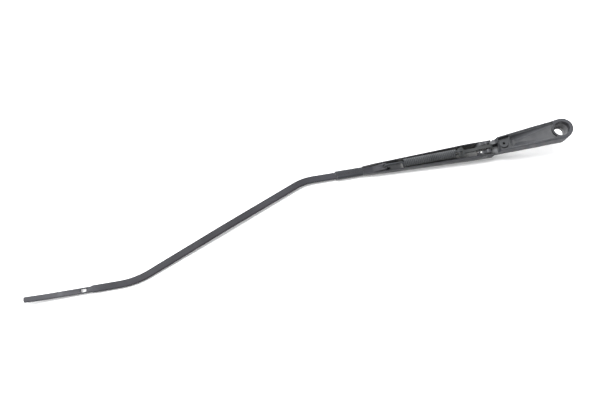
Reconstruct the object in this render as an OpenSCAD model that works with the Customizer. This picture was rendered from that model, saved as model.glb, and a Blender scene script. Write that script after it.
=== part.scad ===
// Wiper arm, seen with its underside up: it lies on the back of its channel.
// The head is at +X, the tongue for the blade at -X. The origin is the middle of
// the plain hole in the head that the threaded end of the spindle passes through.

/* [Bar] */
// Width of the flat bar
bar_w = 8.3; // [7.8:0.1:8.8]
// Thickness of the flat bar
bar_t = 3.2; // [2.8:0.1:4]
// Radius on the long edges of the bar
bar_edge_r = 1; // [0.4:0.1:1.3]
// Angle of the upper bend in the plane of the bar, degrees
upper_bend_angle = 22.7; // [12:0.1:30]
// Angle of the lower bend, which turns the bar back, degrees
lower_bend_angle = 22.4; // [12:0.1:30]
// Distance from the crimp to the corner point of the upper bend
crimp_to_upper_bend = 38.2; // [26:1:60]
// Radius of the upper bend, at mid width
upper_bend_r = 57; // [30:1:70]
// Distance between the corner points of the two bends
bend_to_bend = 218.2; // [150:0.1:260]
// Radius of the lower bend, at mid width
lower_bend_r = 88; // [50:1:100]
// Distance from the corner point of the lower bend to the shoulder
lower_bend_to_shoulder = 46.3; // [42:0.1:80]
// Slope of the bar's first rise towards the middle of its bow, degrees
bow_angle = 0.6; // [0.3:0.1:1.2]
// Slope of the bar beyond the lower bend, degrees
end_rise_angle = 1.5; // [0.5:0.1:3]

/* [Tongue] */
// Width of the tongue that the blade is pushed on to
tongue_w = 6.5; // [5.8:0.1:6.9]
// Length of the tongue from shoulder to tip
tongue_len = 73.6; // [55:1:90]
// Length of the slanted shoulder between bar and tongue
shoulder_len = 2.4; // [1:0.1:4]
// Radius of the corners at the tip
tongue_corner_r = 1.4; // [0.6:0.1:2]
// Distance from the shoulder to the kink
shoulder_to_kink = 50; // [30:1:60]
// Angle of the kink, degrees
kink_angle = 5; // [1:0.1:7]
// Length of the oval slot
slot_len = 6.7; // [5:0.1:8]
// Width of the oval slot
slot_w = 4.3; // [2.4:0.1:4.4]
// Distance from the shoulder to the middle of the slot
shoulder_to_slot = 10.1; // [7:0.1:14]

/* [Inner end of the bar] */
// Angle at which the inner end is cranked up, degrees
crank_angle = 16; // [13:0.1:17]
// Radius of the crank, at mid thickness
crank_r = 10; // [7:0.5:14]
// Distance from the crank to the hole for the spring
crank_to_hole = 12.5; // [11.5:0.1:13]
// Radius of the hole for the spring
spring_hole_r = 2; // [1.9:0.05:2.2]
// Distance from that hole to the end of the bar
hole_to_end = 3.6; // [3.2:0.1:3.7]

/* [Channel] */
// Thickness of the sheet
sheet_t = 1.1; // [0.8:0.1:1.3]
// Outside radius of the folds along the channel
fold_r = 2.2; // [1.8:0.1:2.6]
// Distance from the hinge axis to the crimped end
hinge_to_mouth = 174; // [165:1:190]
// Length of the crimp round the bar
crimp_len = 32; // [20:1:40]
// How much later the near flap of the crimp starts
flap_lag = 2; // [0:0.1:4]
// Gap between the two flaps of the crimp
seam_gap = 0.4; // [0.2:0.1:1]
// Width just behind the crimp's flare
flare_w = 12.3; // [11.6:0.1:12.8]
// Length of that flare
flare_len = 14; // [8:1:20]
// Width at the hinge
hinge_end_w = 17.8; // [17.4:0.1:19]
// Height of the walls at the hinge
hinge_end_h = 13.5; // [12.5:0.1:14.5]
// Length of the parallel stretch behind the hinge axis
parallel_len = 17; // [12:1:24]
// Radius of the rounded end of the walls, about the hinge axis
wall_end_r = 12.6; // [11.8:0.1:13]
// How far the back of the channel is cut away behind the hinge axis
back_cut = 3; // [2.6:0.1:4]
// Rise of the walls over the flare
flare_rise = 1.1; // [0.4:0.1:1.6]
// Rise of the walls over the parallel stretch
end_rise = 0.4; // [0.2:0.1:0.8]

/* [Hinge] */
// Height of the hinge axis above the back of the channel
hinge_h = 8.8; // [8.6:0.05:9.2]
// Distance from the hinge axis to the hole in the bar that the spring pulls from
hinge_to_spring_hole = 116.1; // [115:0.1:118]
// Radius of the hinge rivets
rivet_r = 2.5; // [2:0.05:2.7]
// Radius of their outer heads
rivet_head_r = 3.8; // [3.2:0.1:4.4]
// Height of their outer heads
rivet_head_t = 0.9; // [0.5:0.1:1.3]
// Wall of the bush sleeves
bush_wall = 0.7; // [0.5:0.05:0.9]
// Thickness of the bush flanges
bush_flange_t = 0.7; // [0.5:0.05:0.8]
// Radius of the bush flanges
bush_flange_r = 5.2; // [4.4:0.1:5.8]
// Running clearance of round fits, on the radius
fit_gap = 0.05; // [0.02:0.01:0.08]
// Gap between flat faces that slide or stop against each other
face_gap = 0.25; // [0.2:0.05:0.35]

/* [Hook pin and link] */
// Distance from the hinge axis to the hook pin
pin_offset = 7; // [6.6:0.1:7.2]
// Angle of the hook pin above the channel's plane when closed, degrees
pin_angle = 45; // [42:1:48]
// Radius of the hook pin
hook_pin_r = 1.9; // [1.6:0.05:2]
// Thickness of the link
link_t = 2.2; // [1.6:0.1:2.4]
// Width of the link's neck, which passes between the ears
link_w = 3.6; // [3:0.1:5]
// Width of the link's plate at the spring
link_end_w = 11.6; // [9:0.1:12]
// Length from the hook pin to the hole for the spring
link_len = 30.2; // [29.5:0.1:31.5]
// Radius of the hole for the spring
link_hole_r = 1.7; // [1.5:0.05:1.8]
// Free travel of the pin inside the hook along the link
hook_play = 2.1; // [2:0.05:2.4]
// Free gap above and below the pin inside the hook
hook_side_play = 0.35; // [0.3:0.05:0.5]

/* [Spring] */
// Diameter of the wire
wire_d = 2; // [1.6:0.05:2.1]
// Outside diameter of the coil
coil_od = 9.8; // [8.6:0.1:10]
// Number of turns
coil_turns = 29; // [20:1:30]
// Gap between neighbouring turns
turn_gap = 0.15; // [0.1:0.05:0.25]
// Radius of the hook in the bar, at the middle of the wire
bar_hook_r = 4.5; // [4.4:0.05:4.6]

/* [Head] */
// Distance from the hinge axis to the spindle axis
hinge_to_bore = 88; // [75:1:110]
// Angle of the head above the channel's plane when closed, degrees
head_tilt = 13; // [8:1:14]
// Radius of the round end
head_end_r = 12.5; // [12:0.1:13]
// How far the middle of the round end lies beyond the spindle axis
end_shift = -0.5; // [-1:0.1:1]
// Half width at the shoulder
shoulder_half_w = 8.5; // [8:0.1:9]
// Half width halfway along
middle_half_w = 11.2; // [10:0.1:11.8]
// Half width at the neck before the round end
neck_half_w = 11.7; // [11:0.1:12.4]
// Distance from the middle of the round end back to the neck
neck_back = 9.5; // [8:0.5:12]
// Height of the rim above the hinge axis
rim_z = 6.5; // [6:0.1:7.5]
// Depth of the round end's outer face below the hinge axis
end_depth = 10; // [9.5:0.1:12]
// Depth of the outer face at the shoulder below the hinge axis
shoulder_depth = 8; // [7.6:0.1:8.3]
// Width of the rim round the pocket
rim_w = 1.7; // [1.4:0.1:2]
// Width of the ledge inside the rim
ledge_w = 1.3; // [0.8:0.1:1.8]
// Depth of the ledge below the rim
ledge_depth = 1; // [0.6:0.1:2]
// Distance from the hinge axis to the pocket
pocket_start = 31.5; // [31:0.1:36]
// Depth of the pocket at the hinge side, below the rim
pocket_depth_in = 9; // [7:0.1:10]
// Depth of the pocket at the spindle side, below the rim
pocket_depth_out = 2.2; // [1.6:0.1:6]
// Clearance of the head's shoulder round the ends of the walls
shoulder_gap = 0.7; // [0.5:0.1:0.9]
// Thickness of each ear
ear_t = 3.4; // [2.4:0.1:3.6]
// Distance from the hinge axis to where the shoulder reaches the rim
slant_end = 20.6; // [19.4:0.1:22]
// Height of the ears behind that slant, above the hinge axis
slant_low = 0.6; // [0.4:0.1:2]
// Radius of the ears round the hinge axis
ear_r = 6.2; // [6:0.1:6.4]
// Distance from the hinge axis to the end of the slot between the ears
slot_end = 19; // [17.5:0.1:19.5]
// Thickness of the floor of that slot
slot_floor_t = 2.4; // [1.8:0.1:2.6]
// Distance from the hinge axis to the round boss
boss_x = 25.4; // [25:0.1:26]
// Radius of the round boss
boss_r = 4.6; // [3.6:0.1:5]
// Radius of the blind hole in the boss
boss_hole_r = 1.6; // [1:0.1:2.2]
// Depth of the blind hole
boss_hole_depth = 4; // [2:0.1:6]
// Depth of the bridge round the boss below the rim
bridge_depth = 4.6; // [3:0.1:5]
// Height of the boss above the bridge
boss_h = 1.8; // [1:0.1:2.6]
// Height of the flat top of the ears above the hinge axis
ear_top = 5.3; // [5:0.1:6]

/* [Spindle socket] */
// Radius of the plain hole for the spindle's threaded end
bore_r = 5.2; // [4:0.05:5.6]
// Length of the plain hole
bore_len = 3; // [2:0.1:4]
// Depth of the middle of the plain hole below the hinge axis
bore_z = 5; // [4.5:0.1:5.5]
// Small radius of the taper that grips the spindle
taper_r_in = 6.3; // [5.9:0.05:6.6]
// Large radius of the taper
taper_r_out = 7.5; // [7:0.05:7.9]
// Radius of the mouth of the socket
mouth_r = 8.4; // [8.1:0.05:9]
// Depth of the mouth below the rim
mouth_depth = 3.6; // [2:0.1:5]
// Radius of the outer wall of the socket towards the pocket
socket_wall_r = 10.3; // [10:0.1:10.8]
// Radius of the recess for the spindle nut
nut_recess_r = 8.8; // [8:0.1:9]

/* [Hidden] */
$fn = 64;
paint = [0.17, 0.17, 0.18];
zinc = [0.62, 0.64, 0.66];
nylon = [0.28, 0.28, 0.29];
spring_grey = [0.34, 0.35, 0.37];
far = 400;
crimp_gap = 0.1;
cut = 0.5;

// Places of the hinge axis, measured from the origin
bore_from_hinge_x = hinge_to_bore * cos(head_tilt) + bore_z * sin(head_tilt);
bore_from_hinge_z = hinge_to_bore * sin(head_tilt) - bore_z * cos(head_tilt);
hinge_x = -bore_from_hinge_x;
hinge_z = -bore_from_hinge_z;
floor_z = hinge_z - hinge_h;

// Widths across the hinge, from the inside of the wall inwards
wall_in = hinge_end_w / 2 - sheet_t;
ear_out = wall_in - bush_flange_t - face_gap / 2;
ear_in = ear_out - ear_t;

// Bar inside the channel
bar_mid_z = sheet_t + crimp_gap + bar_t / 2;
crimp_w = bar_w + 2 * (sheet_t + crimp_gap);
crimp_h = bar_t + 2 * (sheet_t + crimp_gap);
mouth_x = -hinge_to_mouth;
flare_start_x = mouth_x + crimp_len;

// Hole in the bar's cranked end, in the hinge frame
hole_drop = crank_r * (1 - cos(crank_angle)) + crank_to_hole * sin(crank_angle);
hole_z = bar_mid_z + hole_drop - hinge_h;
hole_x = -hinge_to_spring_hole;

// Hook pin in the hinge frame, and the line of pull from the bar's hole to it
hook_x = pin_offset * cos(pin_angle);
hook_z = pin_offset * sin(pin_angle);
pull_dx = hook_x - hole_x;
pull_dz = hook_z - hole_z;
pull_len = sqrt(pull_dx * pull_dx + pull_dz * pull_dz);
pull_angle = atan2(pull_dz, pull_dx);
link_hole_s = pull_len - link_len;

// Spring along the line of pull, measured from the bar's hole
wire_r = wire_d / 2;
coil_r = (coil_od - wire_d) / 2;
coil_pitch = wire_d + turn_gap;
hook_seat = 0.3;
hook_room = 0.5;
spring_swing = 3.6;
hook_tilt = crank_angle - pull_angle + spring_swing;
hook_lean = bar_t / 2 * tan(hook_tilt) + bar_hook_r - sqrt(bar_hook_r * bar_hook_r - bar_t * bar_t / 4);
bar_hook_s = spring_hole_r - wire_r - hook_lean - hook_room;
link_hook_s = link_hole_s - (link_hole_r - wire_r - hook_seat);
link_hook_r = coil_r;
leg_len = 0.5;
lead_len = 2.6;
lead_turn = 40;
coil_sweep = 360 * coil_turns - 2 * lead_turn;
coil_len = coil_pitch * coil_sweep / 360;
coil_end = link_hook_s - link_hook_r - leg_len - lead_len;
coil_start = coil_end - coil_len;

module in_hinge_frame() {
    translate([hinge_x, 0, hinge_z])
        children();
}

module in_head_frame() {
    in_hinge_frame()
        rotate([0, -head_tilt, 0])
            children();
}

module on_floor() {
    translate([hinge_x, 0, floor_z])
        children();
}

module along_pull() {
    in_hinge_frame()
        translate([hole_x, 0, hole_z])
            rotate([0, -pull_angle, 0])
                children();
}

// A shape drawn with x along the arm and y upwards, given a width across the arm
module across(width) {
    rotate([90, 0, 0])
        linear_extrude(height = width, center = true)
            children();
}

// Radius of the kink, length of each slight bend, and where the bar's stretches begin and end
kink_r = 30;
bow_len = 4;
upper_setback = upper_bend_r * tan(upper_bend_angle / 2);
lower_setback = lower_bend_r * tan(lower_bend_angle / 2);
first_run = crimp_to_upper_bend - upper_setback;
middle_run = bend_to_bend - upper_setback - lower_setback;
last_run = lower_bend_to_shoulder - lower_setback - bow_len;
bow_run = (middle_run - 3 * bow_len) / 2;
bar_drop = sheet_t + crimp_gap;
fall_angle = asin((bow_run * sin(bow_angle) + bar_drop) / bow_run);
crank_len = crank_r * crank_angle * PI / 180;
level_start_x = hole_x - crank_to_hole * cos(crank_angle) - crank_r * sin(crank_angle);
level_run = level_start_x - mouth_x;
bar_end_x = hole_x + hole_to_end * cos(crank_angle);
bar_end_z = bar_mid_z + hole_drop + hole_to_end * sin(crank_angle);

// Stretches of the bar from its inner end: length, turn to the left, pitch upwards, steps, width at the end
function arc(r, angle) = r * abs(angle) * PI / 180;
end_facets = 4;
end_facet_angle = 15.5;
function end_width(d) = 2 * sqrt(pow(bar_w / 2, 2) - d * d);
end_rounding = [
    for (i = [end_facets:-1:0]) let (d = hole_to_end * sin(end_facet_angle * i)) [d, end_width(d)]
];
tip_facets = 5;
tip_rounding = [for (i = [0:tip_facets]) tongue_corner_r * (1 - cos(90 / tip_facets * i))];
function steps_inward(e) = [
    for (i = [0:len(e) - 1]) [(i == 0 ? hole_to_end : e[i - 1][0]) - e[i][0], 0, 0, 1, e[i][1]]
];
function tip_width(d) =
    tongue_w - 2 * tongue_corner_r + 2 * sqrt(pow(tongue_corner_r, 2) - pow(tongue_corner_r - d, 2));
stretches = concat(
    steps_inward(end_rounding),
    [
        [crank_to_hole, 0, 0, 1, bar_w],
        [crank_len, 0, crank_angle, 4, bar_w],
        [level_run + first_run, 0, 0, 1, bar_w],
        [arc(upper_bend_r, upper_bend_angle), upper_bend_angle, 0, 8, bar_w],
        [bow_len, 0, bow_angle, 1, bar_w],
        [bow_run, 0, 0, 1, bar_w],
        [bow_len, 0, -bow_angle - fall_angle, 2, bar_w],
        [bow_run, 0, 0, 1, bar_w],
        [bow_len, 0, fall_angle, 1, bar_w],
        [arc(lower_bend_r, lower_bend_angle), -lower_bend_angle, 0, 10, bar_w],
        [bow_len, 0, end_rise_angle, 1, bar_w],
        [last_run, 0, 0, 1, bar_w],
        [shoulder_len, 0, 0, 1, tongue_w],
        [shoulder_to_kink - shoulder_len, 0, 0, 1, tongue_w],
        [arc(kink_r, kink_angle), 0, kink_angle, 2, tongue_w],
        [tongue_len - shoulder_to_kink - arc(kink_r, kink_angle) - tongue_corner_r, 0, 0, 1, tongue_w]
    ],
    [
        for (i = [tip_facets - 1:-1:0])
            [tip_rounding[i + 1] - tip_rounding[i], 0, 0, 1, tip_width(tip_rounding[i])]
    ]
);

// A frame is a point, a heading in plan, a pitch and a width
function ahead(yaw, rise) = [cos(rise) * cos(yaw), cos(rise) * sin(yaw), sin(rise)];
function step_on(f, s) =
    let (dyaw = s[1] / s[3], drise = s[2] / s[3])
        [f[0] + s[0] / s[3] * ahead(f[1] + dyaw / 2, f[2] + drise / 2), f[1] + dyaw, f[2] + drise];
function walk_steps(f, s, k = 1) =
    k > s[3] ? [] : let (g = step_on(f, s), w = f[3] + (s[4] - f[3]) * k / s[3])
        concat([[g[0], g[1], g[2], w]], walk_steps([g[0], g[1], g[2], f[3]], s, k + 1));
function walk(f, list, i = 0) =
    i >= len(list) ? [f] : let (part = walk_steps(f, list[i])) concat([f], i + 1 >= len(list)
        ? part
        : concat([for (j = [0:1:len(part) - 2]) part[j]], walk(part[len(part) - 1], list, i + 1)));
bar_start = [[bar_end_x, 0, bar_end_z], 180, -crank_angle, end_width(hole_to_end)];
bar_frames = walk(bar_start, stretches);

// Section of the bar, rounded along its four edges
corner_steps = 3;
function bar_ring(f) =
    let (side = [-sin(f[1]), cos(f[1]), 0], up = cross(ahead(f[1], f[2]), side))
        [
            for (q = [0:3], i = [0:corner_steps])
                let (
                    a = 90 * q + 90 * i / corner_steps,
                    sx = q == 0 || q == 3 ? 1 : -1,
                    sy = q < 2 ? 1 : -1
                )
                    f[0] + (sx * (f[3] / 2 - bar_edge_r) + bar_edge_r * cos(a)) * side
                    + (sy * (bar_t / 2 - bar_edge_r) + bar_edge_r * sin(a)) * up
        ];

// A closed skin over rings of n points each
module skin_over(rings) {
    n = len(rings[0]);
    count = len(rings);
    sides = [
        for (i = [0:count - 2], k = [0:n - 1])
            let (a = i * n + k, b = i * n + (k + 1) % n)
                each [[a, b + n, b], [a, a + n, b + n]]
    ];
    first = [for (k = [0:n - 1]) k];
    last = [for (k = [n - 1:-1:0]) (count - 1) * n + k];
    polyhedron(
        points = [for (r = rings) each r],
        faces = concat([first, last], sides),
        convexity = 10
    );
}

module oval_slot() {
    shift = (slot_len - slot_w) / 2;
    translate([-shift, -slot_w / 2, -bar_t])
        cube([2 * shift, slot_w, 2 * bar_t]);
    for (sx = [-1, 1])
        translate([sx * shift, 0, 0])
            cylinder(r = slot_w / 2, h = 2 * bar_t, center = true);
}

// The frame at the shoulder's end, from which the slot is placed
shoulder_frame = bar_frames[len(bar_frames) - tip_facets - 5];

module arm_bar() {
    color(paint)
        on_floor()
            difference() {
                skin_over([for (f = bar_frames) bar_ring(f)]);
                translate([hole_x, 0, bar_mid_z + hole_drop])
                    rotate([0, -crank_angle, 0])
                        cylinder(r = spring_hole_r, h = 3 * bar_t, center = true);
                translate(shoulder_frame[0])
                    rotate([0, 0, shoulder_frame[1]])
                        rotate([0, -shoulder_frame[2], 0])
                            translate([shoulder_to_slot - shoulder_len, 0, 0])
                                oval_slot();
            }
}

// Open section of the folded channel, outside and then back along the inside
fold_steps = 5;
function fold_arc(cy, r, from) =
    [for (i = [0:fold_steps]) let (a = from + 90 * i / fold_steps) [cy + r * cos(a), fold_r + r * sin(a)]];
function section_side(w, h, inset) =
    concat(
        [[-w / 2 + inset, h]],
        fold_arc(-w / 2 + fold_r, fold_r - inset, 180),
        fold_arc(w / 2 - fold_r, fold_r - inset, 270),
        [[w / 2 - inset, h]]
    );
side_count = 2 * fold_steps + 4;
function channel_ring(s) =
    [for (inset = [0, sheet_t]) each [for (q = section_side(s[1], s[2], inset)) [s[0], q[0], q[1]]]];

// Stations along the channel: place, width, height of the walls
flap_z = crimp_h - fold_r;
stations = [
    [mouth_x, crimp_w, crimp_h],
    [flare_start_x, crimp_w, crimp_h],
    [flare_start_x + flare_len, flare_w, crimp_h + flare_rise],
    [-parallel_len, hinge_end_w, hinge_end_h - end_rise],
    [wall_end_r + cut, hinge_end_w, hinge_end_h]
];

module open_channel() {
    ring = 2 * side_count;
    last = (len(stations) - 1) * ring;
    top = side_count - 1;
    skin = [
        for (k = [0:len(stations) - 2], i = [0:top - 1])
            let (a = k * ring + i, b = a + ring, c = a + side_count, d = b + side_count)
                each [[a, b, b + 1], [a, b + 1, a + 1], [c, d + 1, d], [c, c + 1, d + 1]]
    ];
    edges = [
        for (k = [0:len(stations) - 2])
            let (a = k * ring, b = a + ring, c = a + side_count, d = b + side_count)
                each [
                    [a, c, d], [a, d, b],
                    [a + top, b + top, d + top], [a + top, d + top, c + top]
                ]
    ];
    caps = [
        for (i = [0:top - 1])
            each [
                [i, i + 1, i + 1 + side_count], [i, i + 1 + side_count, i + side_count],
                [last + i, last + i + 1 + side_count, last + i + 1],
                [last + i, last + i + side_count, last + i + 1 + side_count]
            ]
    ];
    polyhedron(
        points = [for (s = stations) each channel_ring(s)],
        faces = concat(skin, edges, caps),
        convexity = 6
    );
}

// One flap of the crimp: the wall's top folded in over the bar, drawn for the far side
module flap(start) {
    flat = crimp_w / 2 - fold_r - seam_gap / 2;
    translate([mouth_x + start, 0, 0])
        rotate([90, 0, 90])
            linear_extrude(height = crimp_len - start) {
                translate([seam_gap / 2, crimp_h - sheet_t])
                    square([flat, sheet_t]);
                translate([crimp_w / 2 - fold_r, flap_z])
                    intersection() {
                        difference() {
                            circle(r = fold_r);
                            circle(r = fold_r - sheet_t);
                        }
                        square([fold_r, fold_r]);
                    }
            }
}

module hinge_holes(r) {
    rotate([90, 0, 0])
        cylinder(r = r, h = 3 * hinge_end_w, center = true);
}

module retainer_channel() {
    color(paint)
        on_floor() {
            difference() {
                intersection() {
                    open_channel();
                    union() {
                        translate([-far, -far / 2, -cut])
                            cube([far, far, far]);
                        translate([0, 0, hinge_h])
                            hinge_holes(wall_end_r);
                    }
                }
                translate([mouth_x - cut, -crimp_w, flap_z])
                    cube([crimp_len + cut, 2 * crimp_w, crimp_h]);
                translate([-back_cut, -wall_in, -cut])
                    cube([far, 2 * wall_in, sheet_t + 2 * cut]);
                translate([0, 0, hinge_h])
                    hinge_holes(rivet_r + fit_gap / 2);
            }
            flap(0);
            mirror([0, 1, 0])
                flap(flap_lag);
        }
}

// One stub rivet, drawn with its peened outer head towards +Z
rivet_head_round = 0.9;
dimple_r = 1.1;
dimple_depth = 0.5;
module hinge_rivet() {
    head_top = hinge_end_w / 2 + rivet_head_t;
    color(zinc)
        difference() {
            union() {
                translate([0, 0, ear_in])
                    cylinder(r = rivet_r, h = head_top - dimple_depth - ear_in);
                translate([0, 0, hinge_end_w / 2])
                    cylinder(r1 = rivet_head_r, r2 = rivet_head_r - rivet_head_round, h = rivet_head_t);
            }
            translate([0, 0, head_top - dimple_depth])
                cylinder(r1 = dimple_r / 2, r2 = dimple_r, h = dimple_depth + 0.001);
        }
}

// One flanged bush, drawn with its flange towards +Z
bush_recess = 0.1;
module hinge_bush() {
    color(nylon)
        difference() {
            union() {
                translate([0, 0, ear_in + bush_recess])
                    cylinder(r = rivet_r + bush_wall, h = ear_t);
                translate([0, 0, ear_out])
                    cylinder(r = bush_flange_r, h = bush_flange_t);
            }
            cylinder(r = rivet_r + fit_gap, h = hinge_end_w);
        }
}

module near_side() {
    rotate([90, 0, 0])
        children();
}

module far_side() {
    rotate([-90, 0, 0])
        children();
}

module hook_pin() {
    color(zinc)
        in_hinge_frame()
            translate([hook_x, 0, hook_z])
                rotate([90, 0, 0])
                    cylinder(r = hook_pin_r, h = 2 * ear_out, center = true);
}

// Places along the link, from the hook pin: the hook's nose, the step in its side, the neck in its plan
nose = -3.2;
step_in = -10;
step_out = -16;
neck_start = -27;
neck_run = 1.5;
link_end_reach = 4.2;

// Link drawn along the line of pull, with the hook pin at the origin
module link_side() {
    inner = hook_pin_r + hook_side_play;
    outer = inner + link_t;
    difference() {
        union() {
            translate([hook_play, 0])
                circle(r = outer);
            translate([nose, -outer])
                square([hook_play - nose, 2 * outer]);
            translate([nose, -inner - link_t / 2])
                circle(r = link_t / 2, $fn = 32);
            translate([step_in, inner])
                square([hook_play - step_in, link_t]);
        }
        translate([hook_play, 0])
            circle(r = inner);
        translate([nose - link_t, -inner])
            square([hook_play - nose + link_t, 2 * inner]);
    }
    polygon([
        [step_in, inner], [step_in, outer],
        [step_out, link_t / 2], [step_out, -link_t / 2]
    ]);
    translate([-link_len - link_end_reach, -link_t / 2])
        square([link_len + link_end_reach + step_out, link_t]);
}

module hook_link() {
    color(zinc)
        along_pull()
            translate([pull_len, 0, 0])
                difference() {
                    intersection() {
                        across(link_end_w)
                            link_side();
                        linear_extrude(height = far, center = true) {
                            translate([neck_start - neck_run, -link_w / 2])
                                square([far / 2, link_w]);
                            polygon([
                                [neck_start, -link_w / 2], [neck_start, link_w / 2],
                                [neck_start - neck_run, link_end_w / 2],
                                [neck_start - neck_run, -link_end_w / 2]
                            ]);
                            translate([-link_len, -link_end_w / 2])
                                square([link_len + neck_start - neck_run, link_end_w]);
                            intersection() {
                                translate([-link_len, 0])
                                    circle(r = link_end_w / 2);
                                translate([-link_len - link_end_reach, -link_end_w / 2])
                                    square([link_end_reach + 1, link_end_w]);
                            }
                        }
                    }
                    translate([-link_len, 0, 0])
                        cylinder(r = link_hole_r, h = far, center = true);
                }
}

// Centre line of the spring wire, from its free end in the bar to the one in the link
hook_steps = 12;
lead_steps = 4;
turn_steps = 14;
coil_steps = round(turn_steps * coil_turns);
hook_tail = 2;
function on_coil(s, a) = [s, coil_r * cos(a), coil_r * sin(a)];
function bar_hook() =
    let (c = bar_hook_s + bar_hook_r)
        concat(
            [[c + hook_tail, 0, -bar_hook_r]],
            [
                for (i = [0:hook_steps])
                    let (a = -90 - 180 * i / hook_steps) [c + bar_hook_r * cos(a), 0, bar_hook_r * sin(a)]
            ]
        );
function lead_in() =
    [
        for (i = [0:lead_steps])
            let (u = 90 * i / lead_steps)
                on_coil(coil_start - lead_len * (1 - sin(u)), 90 + lead_turn * (1 - cos(u)))
    ];
function coil() =
    [
        for (i = [1:coil_steps])
            on_coil(coil_start + coil_len * i / coil_steps, 90 + lead_turn + coil_sweep * i / coil_steps)
    ];
function lead_out() =
    [
        for (i = [1:lead_steps])
            let (u = 90 - 90 * i / lead_steps)
                on_coil(coil_end + lead_len * (1 - sin(u)), 90 - lead_turn * (1 - cos(u)))
    ];
function link_hook() =
    let (c = link_hook_s - link_hook_r)
        concat(
            [
                for (i = [0:hook_steps])
                    let (a = 90 - 180 * i / hook_steps) [c + link_hook_r * cos(a), 0, link_hook_r * sin(a)]
            ],
            [[c - hook_tail, 0, -link_hook_r]]
        );

module tension_spring() {
    color(spring_grey)
        along_pull()
            wire(concat(bar_hook(), lead_in(), coil(), lead_out(), link_hook()));
}

// A round wire along a list of points, its rings carried forward without twist
wire_sides = 8;
function unit(v) = v / norm(v);
function tangent(p, i) = unit(p[min(i + 1, len(p) - 1)] - p[max(i - 1, 0)]);
function carried(u, t) = unit(u - (u * t) * t);
function ring_sides(p, i, u) =
    i >= len(p) ? [] : let (v = carried(u, tangent(p, i))) concat([v], ring_sides(p, i + 1, v));
function wire_ring(c, t, u) =
    let (v = cross(t, u))
        [
            for (k = [0:wire_sides - 1])
                let (a = 360 * k / wire_sides)
                    c + wire_r * (cos(a) * u + sin(a) * v)
        ];

module wire(p) {
    sides = ring_sides(p, 0, [0, 1, 0]);
    skin_over([for (i = [0:len(p) - 1]) wire_ring(p[i], tangent(p, i), sides[i])]);
}

// Outline of the head in plan, drawn in by an inset: two sides with a slight waist and a round end
end_steps = 28;
body_start = 8;
end_x = hinge_to_bore + end_shift;
neck_x = end_x - neck_back;
middle_share = 0.75;
middle_x = body_start + middle_share * (neck_x - body_start);
function end_angle(inset) =
    let (h = neck_half_w - inset, r = head_end_r - inset)
        acos(-r / sqrt(neck_back * neck_back + h * h)) - atan2(h, neck_back);
function head_outline(inset) =
    let (
        r = head_end_r - inset,
        e = end_angle(inset),
        n = neck_half_w - inset,
        m = middle_half_w - inset,
        h = shoulder_half_w - inset
    )
        concat(
            [
                for (i = [0:end_steps])
                    let (a = -e + 2 * e * i / end_steps)
                        [end_x + r * cos(a), r * sin(a)]
            ],
            [[neck_x, n], [middle_x, m], [body_start, h], [body_start, -h], [middle_x, -m], [neck_x, -n]]
        );

// Levels of the solid form, from the outer face to the rim: height at the round end, height at the
// shoulder, inset of the outline
head_levels = [
    [-end_depth, -shoulder_depth, 3],
    [-end_depth + 0.6, -shoulder_depth + 0.5, 1.8],
    [-end_depth + 2.2, -shoulder_depth + 1.9, 0.8],
    [-end_depth + 5, -shoulder_depth + 4.4, 0.3],
    [rim_z - 0.8, rim_z - 0.8, 0],
    [rim_z - 0.25, rim_z - 0.25, 0.25],
    [rim_z, rim_z, 0.8]
];
function level_ring(l) =
    [
        for (q = head_outline(l[2]))
            let (
                share = (q[0] - body_start) / (hinge_to_bore - body_start),
                z = l[1] + (l[0] - l[1]) * share
            )
                [q[0] + share * (z + bore_z) * tan(head_tilt), q[1], z]
    ];

module head_form() {
    skin_over([for (l = head_levels) level_ring(l)]);
}

module head_plan(inset) {
    polygon(head_outline(inset));
}

module pocket() {
    reach = hinge_to_bore - socket_wall_r / 2;
    difference() {
        union() {
            intersection() {
                linear_extrude(height = far, center = true)
                    head_plan(rim_w);
                translate([pocket_start, -far / 2, rim_z - ledge_depth])
                    cube([reach - pocket_start, far, far]);
            }
            intersection() {
                linear_extrude(height = far, center = true)
                    head_plan(rim_w + ledge_w);
                across(4 * head_end_r)
                    polygon([
                        [pocket_start + ledge_w, rim_z - pocket_depth_in],
                        [reach, rim_z - pocket_depth_out],
                        [reach, rim_z + far], [pocket_start + ledge_w, rim_z + far]
                    ]);
            }
        }
        on_spindle()
            cylinder(r = socket_wall_r, h = far, center = true);
    }
}

// The spindle axis stands upright on the channel's plane when the arm is closed
module on_spindle() {
    translate([hinge_to_bore, 0, -bore_z])
        rotate([0, head_tilt, 0])
            children();
}

// Socket and recess along the spindle axis, from the middle of the plain hole
module spindle_socket() {
    mouth_z = rim_z + bore_z - mouth_depth;
    on_spindle() {
        translate([0, 0, mouth_z])
            cylinder(r = mouth_r, h = far);
        translate([0, 0, bore_len / 2])
            cylinder(r1 = taper_r_in, r2 = taper_r_out, h = mouth_z - bore_len / 2 + 0.001);
        cylinder(r = bore_r, h = bore_len + 2 * cut, center = true);
        translate([0, 0, -bore_len / 2 - far])
            cylinder(r = nut_recess_r, h = far);
    }
}

// The slant behind the ears starts clear of the pin's eye and rises over its own length
slant_start = 9.6;
slant_run = 4;

// Outline of the ears in the head's own frame, with the heel that stops the fold
eye_wall = 2.1;
ear_lift = 0.4;
heel_back = 5.5;
heel_len = 5;
module ear_side() {
    circle(r = ear_r);
    rotate(-head_tilt)
        translate([hook_x, hook_z])
            circle(r = hook_pin_r + eye_wall);
    translate([0, ear_lift - ear_r])
        square([slot_end, ear_r - ear_lift + ear_top]);
    rotate(-head_tilt)
        translate([-heel_back, -hinge_h + sheet_t + face_gap])
            square([heel_len, hinge_h - sheet_t - face_gap]);
}

module ears() {
    for (side = [-1, 1])
        translate([0, side * (ear_in + ear_out) / 2, 0])
            across(ear_t)
                ear_side();
}

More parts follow.
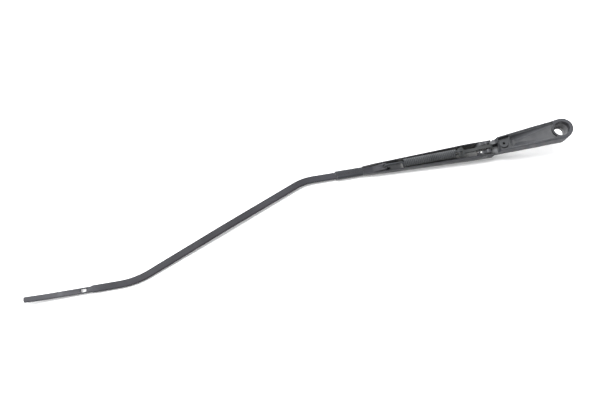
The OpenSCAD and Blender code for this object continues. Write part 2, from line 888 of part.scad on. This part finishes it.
// What is cut away above the ears: level at first, then slanting up to the rim
module shoulder_slant() {
    across(4 * head_end_r)
        polygon([
            [slant_start, slant_low], [slant_end - slant_run, slant_low], [slant_end, rim_z],
            [slant_end, far], [slant_start, far]
        ]);
}

module head() {
    color(paint)
        in_head_frame()
            difference() {
                union() {
                    difference() {
                        head_form();
                        hinge_holes(wall_end_r + shoulder_gap);
                    }
                    ears();
                }
                pocket();
                spindle_socket();
                shoulder_slant();
                translate([-far, -ear_in, -shoulder_depth + slot_floor_t])
                    cube([far + slot_end, 2 * ear_in, far]);
                hinge_holes(rivet_r + bush_wall + fit_gap);
                rotate([0, head_tilt, 0])
                    translate([hook_x, 0, hook_z])
                        hinge_holes(hook_pin_r + fit_gap / 2);
                bridge();
            }
}

// Shallow step round the boss, with the boss and its blind hole left standing
module bridge() {
    translate([0, 0, rim_z - bridge_depth])
        difference() {
            linear_extrude(height = far)
                intersection() {
                    head_plan(rim_w);
                    translate([slot_end + 1, -far / 2])
                        square([pocket_start - slot_end, far]);
                }
            translate([boss_x, 0, 0])
                cylinder(r = boss_r, h = boss_h);
        }
    translate([boss_x, 0, rim_z - bridge_depth + boss_h - boss_hole_depth])
        cylinder(r = boss_hole_r, h = far);
}

head();
in_hinge_frame() near_side() hinge_rivet();  // hinge_rivet_near
in_hinge_frame() far_side() hinge_rivet();  // hinge_rivet_far
in_hinge_frame() near_side() hinge_bush();  // hinge_bush_near
in_hinge_frame() far_side() hinge_bush();  // hinge_bush_far
hook_pin();
hook_link();
tension_spring();
retainer_channel();
arm_bar();
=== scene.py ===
"""Looks of the wiper arm: paint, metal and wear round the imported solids, on a plain pale table."""

import math

import bpy
from mathutils import Matrix, Vector


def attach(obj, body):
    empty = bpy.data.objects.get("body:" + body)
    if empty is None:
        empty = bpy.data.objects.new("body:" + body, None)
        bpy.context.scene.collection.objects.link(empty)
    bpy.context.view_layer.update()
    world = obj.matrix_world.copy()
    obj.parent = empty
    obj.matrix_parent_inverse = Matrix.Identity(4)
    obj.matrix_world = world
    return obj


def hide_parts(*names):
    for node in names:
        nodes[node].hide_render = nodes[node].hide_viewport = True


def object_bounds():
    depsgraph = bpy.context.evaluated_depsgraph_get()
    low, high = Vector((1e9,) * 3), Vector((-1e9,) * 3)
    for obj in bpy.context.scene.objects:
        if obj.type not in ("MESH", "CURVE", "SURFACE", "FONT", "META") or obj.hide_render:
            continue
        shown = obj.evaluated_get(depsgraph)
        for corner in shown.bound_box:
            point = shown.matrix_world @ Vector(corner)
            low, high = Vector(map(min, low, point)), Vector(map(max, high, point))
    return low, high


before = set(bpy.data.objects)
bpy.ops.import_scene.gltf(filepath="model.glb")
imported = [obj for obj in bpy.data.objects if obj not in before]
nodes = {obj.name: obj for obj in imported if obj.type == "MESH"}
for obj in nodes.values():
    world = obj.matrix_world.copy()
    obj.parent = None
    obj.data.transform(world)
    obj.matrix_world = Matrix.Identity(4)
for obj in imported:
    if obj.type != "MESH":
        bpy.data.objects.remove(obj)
cad_low, cad_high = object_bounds()
scene = bpy.context.scene

# View: how far the camera is turned in plan and tilted, its distance from the table along the middle of the
# view, the focal length in pixels, the picture's size, and the place in it of the spindle hole's middle
PLAN_TURN = math.radians(10.0)
ELEVATION = math.radians(70.0)
DISTANCE = 0.728
FOCAL_PX = 633.0
PICTURE = (600.0, 400.0)
HOLE_PX = (558.1, 132.7)
SENSOR_WIDTH = 36.0
CLIP_NEAR = 0.01
CLIP_FAR = 20.0

# Table: as high as the arm's lowest point, and far wider than the picture
FLOOR_Z = cad_low.z
FLOOR_HALF = 30.0

# Light: the room's even glow and three broad lights: one from above and behind the arm on the left, a low one
# from behind that shines under the head, and a wider one of about a third of their strength in front. Each
# has its strength, how many degrees across it is, and the direction it comes from as shares to the left,
# behind and above.
ROOM = 0.34
ROOM_COLOUR = (0.97, 0.985, 1.0, 1.0)
HIGH_LIGHT = (5.4, 32.0, (0.55, 0.34, 1.0))
LOW_LIGHT = (5.5, 34.0, (0.3, 0.9, 0.31))
FRONT_LIGHT = (1.6, 45.0, (-0.2, -0.9, 0.42))

# Paint and metal: the colour of the painted fill light and dust in corners, how much of the colour is taken by
# specks, scuffs, spots of another tone, dirt on steel and its rubbed edges, how metallic a worn place is, and
# how wide and how strong edges are worn
FILL_AND_DUST = (0.23, 0.23, 0.225)
SPECK_SHARE = 0.3
SCUFF_SHARE = 0.35
SPOT_SHARE = 0.8
DIRT_SHARE = 0.5
RUBBED_SHARE = 0.5
WORN_METALLIC = 0.8
PAINT_EDGE = 0.0006
STEEL_EDGE = 0.0005
EDGE_GAIN = 6.0

# Solids: how near vertices are merged, which edges are broken, and how much large faces keep their own shade
WELD_DISTANCE = 0.000002
BROKEN_FROM = math.radians(38)
FLATS_WEIGHT = 80


def picture_axes():
    """Right, up and forward of the camera, in the row frame."""
    turn = Matrix.Rotation(-PLAN_TURN, 3, "Z")
    forward = turn @ Vector((0, math.cos(ELEVATION), -math.sin(ELEVATION)))
    right = turn @ Vector((1, 0, 0))
    return right, right.cross(forward), forward


def make_camera():
    """Camera at the photo's angle, placed so that the spindle hole shows where it does in the photo."""
    right, up, forward = picture_axes()
    across = (HOLE_PX[0] - PICTURE[0] / 2) / FOCAL_PX
    above = (PICTURE[1] / 2 - HOLE_PX[1]) / FOCAL_PX
    ray = forward + right * across + up * above
    height = DISTANCE * math.sin(ELEVATION)
    place = ray * ((height + FLOOR_Z) / ray.z)
    data = bpy.data.cameras.new("camera")
    data.sensor_width = SENSOR_WIDTH
    data.lens = SENSOR_WIDTH * FOCAL_PX / PICTURE[0]
    data.clip_start = CLIP_NEAR
    data.clip_end = CLIP_FAR
    camera = bpy.data.objects.new("camera", data)
    axes = Matrix((right, up, -forward)).transposed().to_4x4()
    camera.matrix_world = Matrix.Translation(place) @ axes
    scene.collection.objects.link(camera)
    scene.camera = camera


def new_material(name):
    """A new material with its node tree and its shader."""
    material = bpy.data.materials.new(name)
    material.use_nodes = True
    tree = material.node_tree
    return material, tree, tree.nodes["Principled BSDF"]


def brighter(colour, factor):
    """The colour times the factor, up to white."""
    return tuple(min(1.0, factor * c) for c in colour)


class Graph:
    """Short names for the nodes of one material."""

    def __init__(self, tree):
        self.tree = tree
        self.place = self.add("ShaderNodeTexCoord").outputs["Object"]

    def add(self, kind, **settings):
        node = self.tree.nodes.new(kind)
        for key, value in settings.items():
            setattr(node, key, value)
        return node

    def join(self, value, socket_bare_and_lit):
        """Links an output to the socket, or sets the socket to a plain value."""
        if isinstance(value, bpy.types.NodeSocket):
            self.tree.links.new(value, socket_bare_and_lit)
        else:
            socket_bare_and_lit.default_value = value

    def noise(self, size, detail=3.0, rough=0.5, stretch=None, warp=0.0):
        """Cloudy pattern whose blobs are about size metres across, between 0 and 1."""
        node = self.add("ShaderNodeTexNoise")
        place = self.place
        if stretch:
            mapping = self.add("ShaderNodeMapping")
            mapping.inputs["Scale"].default_value = stretch
            self.join(place, mapping.inputs["Vector"])
            place = mapping.outputs["Vector"]
        self.join(place, node.inputs["Vector"])
        node.inputs["Scale"].default_value = 1.0 / size
        node.inputs["Detail"].default_value = detail
        node.inputs["Roughness"].default_value = rough
        node.inputs["Distortion"].default_value = warp
        return node.outputs["Fac"]

    def ramp(self, value, stops):
        """Straight ramp between two stops, each a position and a grey level."""
        node = self.add("ShaderNodeValToRGB")
        for element, (position, grey) in zip(node.color_ramp.elements, stops):
            element.position = position
            element.color = (grey, grey, grey, 1)
        self.join(value, node.inputs["Fac"])
        return node.outputs["Color"]

    def mix(self, amount, a, b, mode="MIX"):
        """Colour a with an amount of colour b."""
        node = self.add("ShaderNodeMix", data_type="RGBA", blend_type=mode)
        self.join(amount, node.inputs["Factor"])
        for value, key in ((a, 6), (b, 7)):
            if isinstance(value, tuple):
                value = (*value, 1.0)
            self.join(value, node.inputs[key])
        return node.outputs[2]

    def math(self, operation, a, b=0.0, clamp=False):
        node = self.add("ShaderNodeMath", operation=operation, use_clamp=clamp)
        self.join(a, node.inputs[0])
        self.join(b, node.inputs[1])
        return node.outputs[0]

    def bump(self, height, strength, distance, under=None):
        node = self.add("ShaderNodeBump")
        node.inputs["Strength"].default_value = strength
        node.inputs["Distance"].default_value = distance
        self.join(height, node.inputs["Height"])
        if under:
            self.join(under, node.inputs["Normal"])
        return node.outputs["Normal"]

    def spot(self, middle, radius, soft):
        """1 inside a ball of the row frame, falling to 0 over its soft skin, with a ragged border."""
        away = self.add("ShaderNodeVectorMath", operation="DISTANCE")
        self.join(self.place, away.inputs[0])
        away.inputs[1].default_value = middle
        border = self.math("MULTIPLY", self.noise(0.0015), soft)
        ragged = self.math("ADD", away.outputs["Value"], border)
        near = self.add("ShaderNodeMapRange")
        near.inputs["From Min"].default_value = radius + 1.5 * soft
        near.inputs["From Max"].default_value = radius + 0.5 * soft
        self.join(ragged, near.inputs["Value"])
        return near.outputs["Result"]

    def sheltered(self, reach):
        """1 in corners and close under other pieces, 0 on open faces."""
        sky = self.add("ShaderNodeAmbientOcclusion", samples=8)
        sky.inputs["Distance"].default_value = reach
        return self.ramp(sky.outputs["AO"], [(0.3, 1.0), (0.85, 0.0)])

    def edges(self, radius):
        """How far the rounded normal turns from the flat one: 0 on faces, 1 on sharp edges."""
        bevel = self.add("ShaderNodeBevel", samples=6)
        bevel.inputs["Radius"].default_value = radius
        flat = self.add("ShaderNodeNewGeometry").outputs["Normal"]
        dot = self.add("ShaderNodeVectorMath", operation="DOT_PRODUCT")
        self.join(bevel.outputs["Normal"], dot.inputs[0])
        self.join(flat, dot.inputs[1])
        turned = self.math("SUBTRACT", 1.0, dot.outputs["Value"])
        return self.math("MULTIPLY", turned, EDGE_GAIN, clamp=True)


def paint(
    name, dark, faded, metal, rough, edge_wear,
    grain=0.0006, spots=(), recess_fill_and_dust=0.0, reach=0.008, gloss=0.5,
):
    """Old satin black paint: faded in patches, scuffed, and rubbed through on its edges.

    spots holds the places with a tone of their own, as middle, radius, softness of the border and tone,
    and the next share is how much pale colour, as painted fill light and dust, lies in corners and close
    under other pieces, out to the reach.
    """
    material, tree, shader = new_material(name)
    g = Graph(tree)
    patches = g.ramp(g.noise(0.035, 4.0, 0.55, warp=0.4), [(0.32, 0.0), (0.68, 1.0)])
    colour = g.mix(patches, dark, faded)
    speck = g.ramp(g.noise(0.0011, 2.0, 0.6), [(0.6, 0.0), (0.75, 1.0)])
    colour = g.mix(g.math("MULTIPLY", speck, SPECK_SHARE), colour, brighter(faded, 2.2))
    scuff = g.ramp(g.noise(0.004, 5.0, 0.65, stretch=(0.25, 1.0, 1.0)), [(0.62, 0.0), (0.7, 1.0)])
    colour = g.mix(g.math("MULTIPLY", scuff, SCUFF_SHARE), colour, brighter(faded, 2.6))
    edge = g.edges(PAINT_EDGE)
    broken = g.ramp(g.noise(0.0032, 4.0, 0.65), [(0.46, 0.0), (0.6, 1.0)])
    worn = g.math("MULTIPLY", g.math("MULTIPLY", edge, broken), edge_wear, clamp=True)
    # Corners and places close under other pieces get a paler colour: painted fill light, along with dust
    if recess_fill_and_dust:
        recess_patches = g.ramp(g.noise(0.006, 5.0, 0.6), [(0.3, 0.6), (0.7, 1.0)])
        filled_recess = g.math("MULTIPLY", g.sheltered(reach), recess_patches)
        colour = g.mix(g.math("MULTIPLY", filled_recess, recess_fill_and_dust), colour, FILL_AND_DUST)
    for middle, radius, soft, tone in spots:
        colour = g.mix(g.math("MULTIPLY", g.spot(middle, radius, soft), SPOT_SHARE), colour, tone)
    colour = g.mix(worn, colour, metal)
    g.join(colour, shader.inputs["Base Color"])
    level = g.ramp(g.noise(0.012, 5.0, 0.6), [(0.3, rough - 0.07), (0.7, rough + 0.08)])
    g.join(level, shader.inputs["Roughness"])
    shader.inputs["Specular IOR Level"].default_value = gloss
    g.join(g.math("MULTIPLY", worn, WORN_METALLIC), shader.inputs["Metallic"])
    grainy = g.bump(g.noise(grain, 3.0, 0.6), 0.18, 0.00006)
    dents = g.bump(g.noise(0.006, 2.0), 0.2, 0.0002, grainy)
    g.join(dents, shader.inputs["Normal"])
    return material


def steel(name, base, dirt, rough):
    """Bare or plated steel gone dull, with dirt and a few brighter rubbed places."""
    material, tree, shader = new_material(name)
    g = Graph(tree)
    cloud = g.ramp(g.noise(0.005, 5.0, 0.6, warp=0.3), [(0.35, 0.0), (0.65, 1.0)])
    colour = g.mix(g.math("MULTIPLY", cloud, DIRT_SHARE), base, dirt)
    edge = g.edges(STEEL_EDGE)
    colour = g.mix(g.math("MULTIPLY", edge, RUBBED_SHARE), colour, brighter(base, 1.5))
    g.join(colour, shader.inputs["Base Color"])
    shader.inputs["Metallic"].default_value = 0.9
    level = g.ramp(g.noise(0.003, 4.0, 0.6), [(0.3, rough - 0.08), (0.7, rough + 0.12)])
    g.join(level, shader.inputs["Roughness"])
    g.join(g.bump(g.noise(0.0005, 3.0, 0.6), 0.15, 0.00005), shader.inputs["Normal"])
    return material


def plastic(name, colour, rough):
    """Dull moulded plastic, a little cloudy and with a fine grain."""
    material, tree, shader = new_material(name)
    g = Graph(tree)
    tone = g.ramp(g.noise(0.003, 4.0, 0.6), [(0.3, 0.75), (0.7, 1.2)])
    g.join(g.mix(1.0, colour, tone, "MULTIPLY"), shader.inputs["Base Color"])
    shader.inputs["Roughness"].default_value = rough
    g.join(g.bump(g.noise(0.0004, 3.0, 0.6), 0.2, 0.00004), shader.inputs["Normal"])
    return material


# Spring wire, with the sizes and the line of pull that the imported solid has, in metres. The line starts at
# the eye in the bar, and the two hook values say how far along it the outer end of each hook's line lies.
HOOK_EYE = Vector((-0.20296932, 0.0, -0.01709099))
PULL_ANGLE = math.radians(3.36473)
BAR_HOOK_S = -0.000259963
LINK_HOOK_S = 0.0906588
WIRE_R = 0.001
COIL_R = 0.0039
TURNS = 29
PITCH = 0.00215
BAR_HOOK_R = 0.0045
LINK_HOOK_R = 0.0039
LEG = 0.0005
LEAD = 0.0026
LEAD_TURN = 40.0
HOOK_TAIL = 0.002
WIRE_SIDES = 14
HOOK_STEPS = 28
LEAD_STEPS = 10
STEPS_PER_TURN = 32

# The head's hinge axis in the row frame, and its pocket in the head's own frame, which starts at that axis.
# The wall's half width is given at the middle and at the neck, and each flare is its growth per length.
HINGE = Vector((-0.08686932, 0.0, -0.01492384))
HEAD_TILT = math.radians(13)
WALL_XS = (0.0826, 0.0803, 0.078, 0.0722, 0.0663, 0.0605, 0.0549, 0.0494, 0.0438, 0.0383, 0.0328)
NECK_X = 0.078
NECK_Y = 0.0087
NECK_FLARE = 0.0876
MIDDLE_X = 0.0605
MIDDLE_Y = 0.0082
MIDDLE_FLARE = 0.0286
INNER_FLARE = 0.0514
POCKET_X = 0.0328
POCKET_FLOOR_Z = -0.0025
POCKET_SLOPE = 0.1359
LEDGE_Z = 0.0055

# The corner's radius is at most these shares of the wall's height and half width, and it sinks a little
# into the casting
CORNER_OF_HEIGHT = 0.92
CORNER_OF_WIDTH = 0.8
CORNER_STEPS = 8
CORNER_SUNK = 0.0003


def spring_path():
    """Centre line of the wire along the pull, from the bar's hook to the link's hook."""
    sweep = 360.0 * TURNS - 2 * LEAD_TURN
    length = PITCH * sweep / 360.0
    coil_end = LINK_HOOK_S - LINK_HOOK_R - LEG - LEAD
    coil_start = coil_end - length
    path = []

    def on_coil(s, turn):
        path.append((s, COIL_R * math.cos(math.radians(turn)), COIL_R * math.sin(math.radians(turn))))

    def hook(centre, radius, first, last):
        for i in range(HOOK_STEPS + 1):
            a = math.radians(first + (last - first) * i / HOOK_STEPS)
            path.append((centre + radius * math.cos(a), 0.0, radius * math.sin(a)))

    centre = BAR_HOOK_S + BAR_HOOK_R
    path.append((centre + HOOK_TAIL, 0.0, -BAR_HOOK_R))
    hook(centre, BAR_HOOK_R, -90.0, -270.0)
    for i in range(LEAD_STEPS + 1):
        u = math.radians(90.0 * i / LEAD_STEPS)
        on_coil(coil_start - LEAD * (1 - math.sin(u)), 90 + LEAD_TURN * (1 - math.cos(u)))
    steps = STEPS_PER_TURN * TURNS
    for i in range(1, steps + 1):
        on_coil(coil_start + length * i / steps, 90 + LEAD_TURN + sweep * i / steps)
    for i in range(1, LEAD_STEPS + 1):
        u = math.radians(90 - 90.0 * i / LEAD_STEPS)
        on_coil(coil_end + LEAD * (1 - math.sin(u)), 90 - LEAD_TURN * (1 - math.cos(u)))
    centre = LINK_HOOK_S - LINK_HOOK_R
    hook(centre, LINK_HOOK_R, 90.0, -90.0)
    path.append((centre - HOOK_TAIL, 0.0, -LINK_HOOK_R))
    tilt = Matrix.Rotation(-PULL_ANGLE, 3, "Y")
    return [HOOK_EYE + tilt @ Vector(q) for q in path]


def new_piece(name, verts, faces):
    """A new smooth-shaded piece from its vertices and faces."""
    mesh = bpy.data.meshes.new(name)
    mesh.from_pydata([tuple(v) for v in verts], [], faces)
    mesh.polygons.foreach_set("use_smooth", [True] * len(mesh.polygons))
    piece = bpy.data.objects.new(name, mesh)
    scene.collection.objects.link(piece)
    return piece


def tube(name, path, radius):
    """A round wire along a list of points, with rounded-off ends."""
    verts, faces, rings = [], [], []
    side = Vector((0, 1, 0))
    last = len(path) - 1
    for i, centre in enumerate(path):
        along = (path[min(i + 1, last)] - path[max(i - 1, 0)]).normalized()
        side = (side - along * side.dot(along)).normalized()
        rings.append((centre, along, side.copy(), along.cross(side)))
    shapes = [(rings[0], -0.6, 0.55), (rings[0], -0.25, 0.86)]
    shapes += [(ring, 0.0, 1.0) for ring in rings]
    shapes += [(rings[-1], 0.25, 0.86), (rings[-1], 0.6, 0.55)]
    for (centre, along, across, other), shift, share in shapes:
        for k in range(WIRE_SIDES):
            a = 2 * math.pi * k / WIRE_SIDES
            spoke = math.cos(a) * across + math.sin(a) * other
            verts.append(centre + along * shift * radius + radius * share * spoke)
    for i in range(len(shapes) - 1):
        for k in range(WIRE_SIDES):
            a, b = i * WIRE_SIDES + k, i * WIRE_SIDES + (k + 1) % WIRE_SIDES
            faces.append((a, b, b + WIRE_SIDES, a + WIRE_SIDES))
    faces.append(tuple(range(WIRE_SIDES - 1, -1, -1)))
    faces.append(tuple((len(shapes) - 1) * WIRE_SIDES + k for k in range(WIRE_SIDES)))
    return new_piece(name, verts, faces)


def pocket_stations():
    """Run of the pocket's wall in the head's own frame, from the socket down the far side and back."""
    far_side = []
    for x in WALL_XS:
        if x > NECK_X:
            y = NECK_Y + NECK_FLARE * (x - NECK_X)
        elif x > MIDDLE_X:
            y = MIDDLE_Y + MIDDLE_FLARE * (x - MIDDLE_X)
        else:
            y = MIDDLE_Y - INNER_FLARE * (MIDDLE_X - x)
        far_side.append((x, y))
    return far_side + [(x, -y) for x, y in reversed(far_side)]


def pocket_corner(name):
    """Rounded inner corner of a casting between the pocket's wall and its floor, mitred at the hinge end."""
    run = pocket_stations()
    turn = Matrix.Rotation(-HEAD_TILT, 3, "Y")
    verts, faces = [], []
    middle = len(run) // 2
    for i, (x, y) in enumerate(run):
        floor_z = POCKET_FLOOR_Z + POCKET_SLOPE * (x - POCKET_X)
        radius = min(CORNER_OF_HEIGHT * (LEDGE_Z - floor_z), CORNER_OF_WIDTH * abs(y))
        inward = Vector((0.0, -1.0 if y > 0 else 1.0, 0.0))
        if i in (middle - 1, middle):
            inward.x = 1.0
        wall = Vector((x, y, floor_z + radius))
        ring = []
        for k in range(CORNER_STEPS + 1):
            a = 0.5 * math.pi * k / CORNER_STEPS
            down = Vector((0, 0, radius * math.sin(a)))
            ring.append(wall + inward * radius * (1 - math.cos(a)) - down)
        ring.append(ring[-1] - Vector((0, 0, CORNER_SUNK)))
        ring.append(wall - inward * CORNER_SUNK - Vector((0, 0, radius + CORNER_SUNK)))
        ring.append(wall - inward * CORNER_SUNK)
        verts += [HINGE + turn @ q for q in ring]
    around = CORNER_STEPS + 4
    for i in range(len(run) - 1):
        for k in range(around):
            a, b = i * around + k, i * around + (k + 1) % around
            faces.append((a, a + around, b + around, b))
    faces.append(tuple(range(around)))
    faces.append(tuple((len(run) - 1) * around + k for k in range(around - 1, -1, -1)))
    return new_piece(name, verts, faces)


def dress(node, material, bevel=0.0):
    """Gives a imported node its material, slightly broken edges and smooth shading that keeps flats flat."""
    piece = nodes[node]
    piece.data.materials.clear()
    piece.data.materials.append(material)
    piece.data.polygons.foreach_set("use_smooth", [True] * len(piece.data.polygons))
    weld = piece.modifiers.new("weld", "WELD")
    weld.merge_threshold = WELD_DISTANCE
    if bevel:
        rounding = piece.modifiers.new("edges", "BEVEL")
        rounding.width = bevel
        rounding.segments = 2
        rounding.limit_method = "ANGLE"
        rounding.angle_limit = BROKEN_FROM
    flats = piece.modifiers.new("flats", "WEIGHTED_NORMAL")
    flats.mode = "FACE_AREA"
    flats.weight = FLATS_WEIGHT


def make_floor():
    """The plain pale table."""
    mesh = bpy.data.meshes.new("table_top")
    corners = [(-1, -1), (1, -1), (1, 1), (-1, 1)]
    mesh.from_pydata([(FLOOR_HALF * x, FLOOR_HALF * y, FLOOR_Z) for x, y in corners], [], [(0, 1, 2, 3)])
    material, tree, shader = new_material("table_white")
    g = Graph(tree)
    tone = g.ramp(g.noise(0.2, 2.0), [(0.3, 0.93), (0.7, 0.95)])
    g.join(tone, shader.inputs["Base Color"])
    shader.inputs["Roughness"].default_value = 0.7
    shader.inputs["Specular IOR Level"].default_value = 0.2
    mesh.materials.append(material)
    table = bpy.data.objects.new("table_top", mesh)
    scene.collection.objects.link(table)


def make_light():
    """The room's glow and the three broad lights, which are the same everywhere on the table."""
    world = bpy.data.worlds.new("room")
    world.use_nodes = True
    glow = world.node_tree.nodes["Background"]
    glow.inputs["Color"].default_value = ROOM_COLOUR
    glow.inputs["Strength"].default_value = ROOM
    scene.world = world
    right, _, forward = picture_axes()
    behind = Vector((forward.x, forward.y, 0)).normalized()
    lights = (("light_above", HIGH_LIGHT), ("light_behind", LOW_LIGHT), ("light_front", FRONT_LIGHT))
    for name, (strength, spread, (to_left, to_behind, to_above)) in lights:
        data = bpy.data.lights.new(name, "SUN")
        data.energy = strength
        data.angle = math.radians(spread)
        lamp = bpy.data.objects.new(name, data)
        away = -right * to_left + behind * to_behind + Vector((0, 0, to_above))
        lamp.location = away.normalized()
        lamp.rotation_euler = away.to_track_quat("Z", "Y").to_euler()
        scene.collection.objects.link(lamp)


make_camera()
make_floor()
make_light()
scene.view_settings.view_transform = "Standard"

# Spots with a tone of their own, in the row frame: middle, radius, softness of the border, tone. They are
# painted glints on the ears' edges, painted sheen on the tongue and a paler band at its kink, a paler socket
# of bare casting with painted light on its shaded wall, painted shade round the socket's rim, on the pocket's
# floor and round the boss, painted light in the slot, a paler place by the socket's far rim, and a darker
# place round the spring's hook.
# A painted glint on the near ear's top edge, and a weaker one on the far ear's
near_ear_glint = ((HINGE.x - 0.003, -0.0045, HINGE.z + 0.0045), 0.0010, 0.0003, (0.85, 0.85, 0.83))
far_ear_glint = ((HINGE.x - 0.0018, 0.0062, HINGE.z + 0.005), 0.0006, 0.0003, (0.3, 0.3, 0.3))
# A paler band across the tongue at its kink
kink = ((-0.5815, -0.0844, -0.0175), 0.0018, 0.003, (0.07, 0.07, 0.076))
# Painted sheen over the tongue
tongue_sheen = ((-0.597, -0.085, -0.02), 0.034, 0.03, (0.052, 0.052, 0.058))
# The socket's inside: a paler bare casting, with painted light on its shaded wall
socket_bare_and_lit = ((0.0, 0.0, 0.004), 0.0082, 0.0008, (0.15, 0.15, 0.155))
# Painted shade on the upper left of the socket's rim
socket_edge_shade = ((-0.004, 0.007, 0.014), 0.0045, 0.003, (0.014, 0.015, 0.019))
mouth = ((0.0015, 0.008, 0.008), 0.0022, 0.001, (0.1, 0.102, 0.108))
# Painted shade on the pocket's floor, at its end by the socket and in its middle
pocket_end_shade = ((-0.0125, 0.0, 0.006), 0.009, 0.012, (0.018, 0.019, 0.022))
pocket_middle_shade = ((-0.034, 0.0, 0.0), 0.008, 0.012, (0.026, 0.027, 0.031))
# Painted light in the dark slot for the link
slot_fill_light = ((-0.0725, 0.0, -0.0115), 0.005, 0.003, (0.07, 0.072, 0.076))
# Painted shade round the boss between the ears' slot and the pocket
boss_shade = ((-0.0595, 0.0025, -0.0075), 0.0085, 0.007, (0.02, 0.022, 0.025))
# A darker place on the channel round the bar's spring hook
hook_darkening = ((-0.192, 0.0, -0.0225), 0.0085, 0.003, (0.02, 0.021, 0.024))
head_spots = [pocket_end_shade, pocket_middle_shade, socket_edge_shade, mouth, boss_shade, slot_fill_light, socket_bare_and_lit, near_ear_glint, far_ear_glint]

# Paints: name, dark and faded colour, the metal below, roughness and wear on the edges
bar_paint = paint(
    "bar_paint", (0.017, 0.017, 0.02), (0.028, 0.028, 0.033), (0.26, 0.26, 0.27), 0.55, 0.25,
    spots=[tongue_sheen, kink], recess_fill_and_dust=0.3, reach=0.004, gloss=0.14,
)
channel_paint = paint(
    "channel_paint", (0.014, 0.015, 0.018), (0.022, 0.023, 0.027), (0.2, 0.2, 0.21), 0.5, 0.1,
    spots=[hook_darkening], recess_fill_and_dust=1.0, reach=0.013, gloss=0.2,
)
head_paint = paint(
    "head_paint", (0.023, 0.024, 0.028), (0.034, 0.035, 0.04), (0.26, 0.26, 0.26), 0.5, 0.3,
    grain=0.0009, spots=head_spots, recess_fill_and_dust=0.35, reach=0.006, gloss=0.25,
)
link_paint = paint(
    "link_steel", (0.018, 0.02, 0.021), (0.03, 0.031, 0.032), (0.25, 0.25, 0.25), 0.6, 0.1,
    recess_fill_and_dust=0.6, reach=0.006, gloss=0.15,
)
dress("arm_bar", bar_paint)
dress("retainer_channel", channel_paint, 0.00015)
dress("head", head_paint, 0.00035)
dress("hook_link", link_paint, 0.0002)
for side in ("near", "far"):
    coated = paint(
        "rivet_steel_" + side, (0.02, 0.021, 0.024), (0.032, 0.033, 0.036), (0.25, 0.25, 0.26), 0.5, 0.2,
    )
    dress("hinge_rivet_" + side, coated, 0.0001)
    dress("hinge_bush_" + side, plastic("bush_nylon_" + side, (0.05, 0.05, 0.05), 0.5), 0.0001)
dress("hook_pin", steel("pin_steel", (0.22, 0.22, 0.23), (0.06, 0.055, 0.05), 0.4), 0.0001)

spring = tube("spring_wire", spring_path(), WIRE_R)
wire_paint = paint(
    "spring_steel", (0.026, 0.028, 0.031), (0.042, 0.044, 0.048), (0.22, 0.22, 0.23), 0.75, 0.05,
    grain=0.0004, recess_fill_and_dust=0.7, reach=0.006, gloss=0.05,
)
spring.data.materials.append(wire_paint)
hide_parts("tension_spring")
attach(spring, "spring_link")

# The corner's far side faces away from the lights and has a paler paint of its own, painted fill light; its
# near side has the head's paint
corner = pocket_corner("pocket_corner")
corner_fill_light_paint = paint(
    "corner_fill_light_paint", (0.05, 0.052, 0.058), (0.066, 0.068, 0.074), (0.26, 0.26, 0.26), 0.55, 0.2,
    grain=0.0009, recess_fill_and_dust=0.3, reach=0.006, gloss=0.25,
)
corner.data.materials.append(corner_fill_light_paint)
corner.data.materials.append(head_paint)
for face in corner.data.polygons:
    if face.center.y < 0.0:
        face.material_index = 1
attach(corner, "head")
